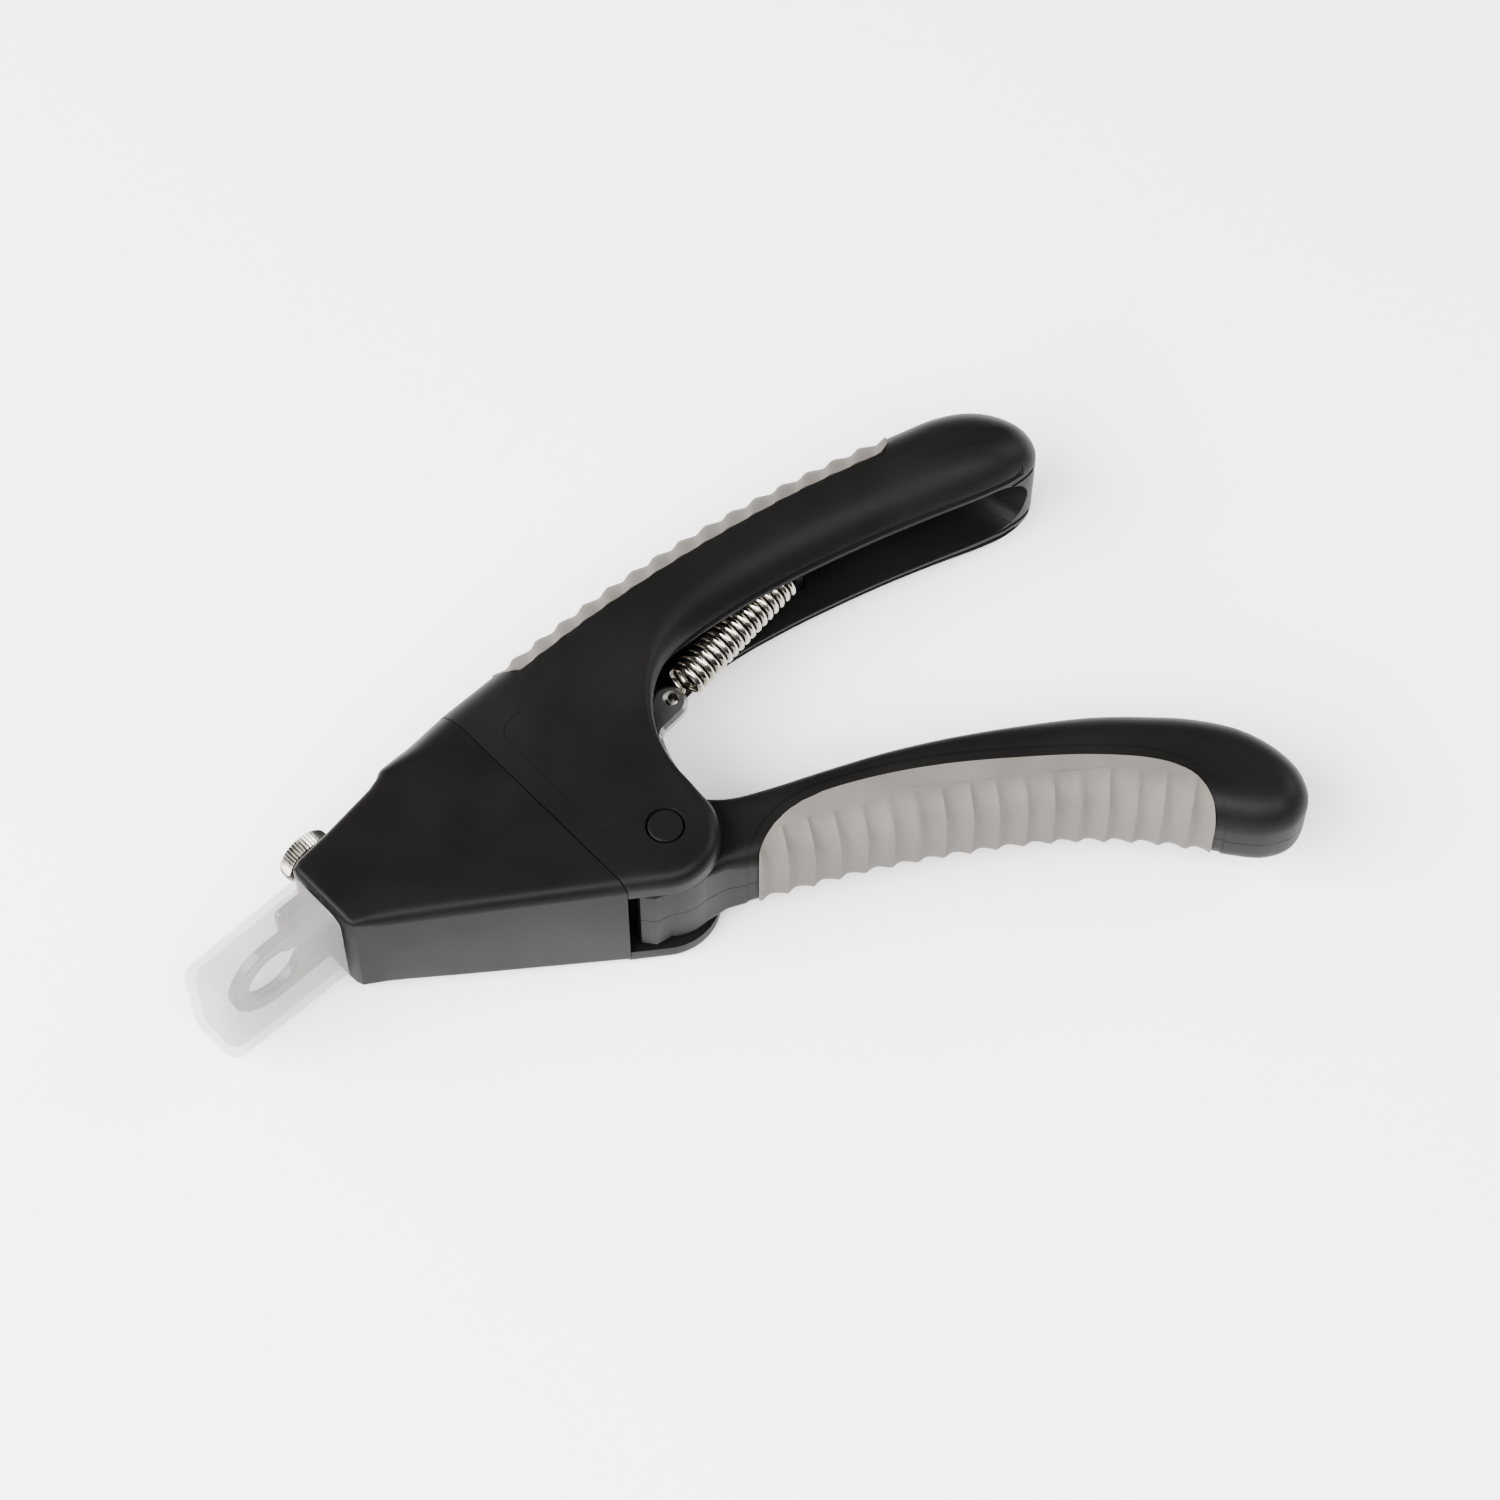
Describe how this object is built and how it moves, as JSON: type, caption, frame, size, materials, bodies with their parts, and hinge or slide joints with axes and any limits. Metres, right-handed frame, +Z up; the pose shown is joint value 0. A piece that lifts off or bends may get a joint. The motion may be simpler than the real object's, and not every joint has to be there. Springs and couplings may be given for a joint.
{
  "type": "pet nail trimmer",
  "caption": "Guillotine pet nail trimmer with a hinged handle, ribbed grips, a sliding blade behind a ring plate, a return spring and a clear nose cap.",
  "frame": {"origin": "on the handle pivot's axis, at the flat underside that the trimmer lies on", "axes": "+Z up along the pivot's axis, through the trimmer's thickness; +X from the cutting tip towards the handles; +Y towards the fixed handle's back"},
  "size_m": [0.1785, 0.1139, 0.0295],
  "materials": {
    "body_plastic": "fine-grained black moulded plastic",
    "cover_plastic": "smoother black moulded plastic",
    "grip_rubber": "warm grey ribbed soft grip",
    "plate_steel": "ground steel plate",
    "bright_nickel": "bright nickel plate",
    "nut_brass": "turned brass",
    "cap_clear": "frosted translucent plastic"
  },
  "bodies": {
    "body": {"fixed_body": "body_plastic", "nose_cover": "cover_plastic", "fixed_grip": "grip_rubber", "pivot_pin": "plate_steel", "pivot_plug_top": "body_plastic", "pivot_plug_bottom": "body_plastic", "spring_anchor_pin": "plate_steel", "ring_plate": "plate_steel", "ring_plate_screw_1": "plate_steel", "ring_plate_screw_2": "plate_steel", "blade_guard": "plate_steel", "cover_screw_1": "plate_steel", "cover_screw_2": "plate_steel", "thumbscrew_nut": "nut_brass", "return_spring": "bright_nickel"},
    "handle": {"handle_shell_top": "body_plastic", "handle_shell_bottom": "body_plastic", "moving_grip": "grip_rubber", "drive_lever": "plate_steel", "lever_pin_1": "plate_steel", "lever_pin_2": "plate_steel", "handle_screw_1": "plate_steel", "handle_screw_2": "plate_steel", "handle_screw_3": "plate_steel"},
    "blade": {"cutting_blade": "plate_steel", "blade_carriage": "cover_plastic", "drive_pin": "plate_steel", "blade_screw_1": "plate_steel", "blade_screw_2": "plate_steel"},
    "thumbscrew": {"thumbscrew": "bright_nickel"},
    "cap": {"safety_cap": "cap_clear"}
  },
  "joints": [
    {"name": "handle_pivot", "type": "hinge", "parent": "body", "child": "handle", "pos_m": [0, 0, 0.01475], "axis": [0, 0, 1], "range_deg": [0, 24], "stiffness_Nm_per_rad": 1.2, "springref_deg": -34.38, "deforming": ["return_spring"]},
    {"name": "blade_slide", "type": "slide", "parent": "body", "child": "blade", "axis": [-1, 0, 0], "range_m": [0, 0.0137]},
    {"name": "thumbscrew_turn", "type": "hinge", "parent": "body", "child": "thumbscrew", "pos_m": [-0.0433, 0.04, 0.01475], "axis": [0, 1, 0], "continuous": true},
    {"name": "cap_pull", "type": "slide", "parent": "body", "child": "cap", "axis": [-1, 0, 0], "range_m": [0, 0.03]}
  ],
  "couplings": [
    {"joint": "blade_slide", "follows": "handle_pivot", "m_per_rad": 0.0325}
  ]
}
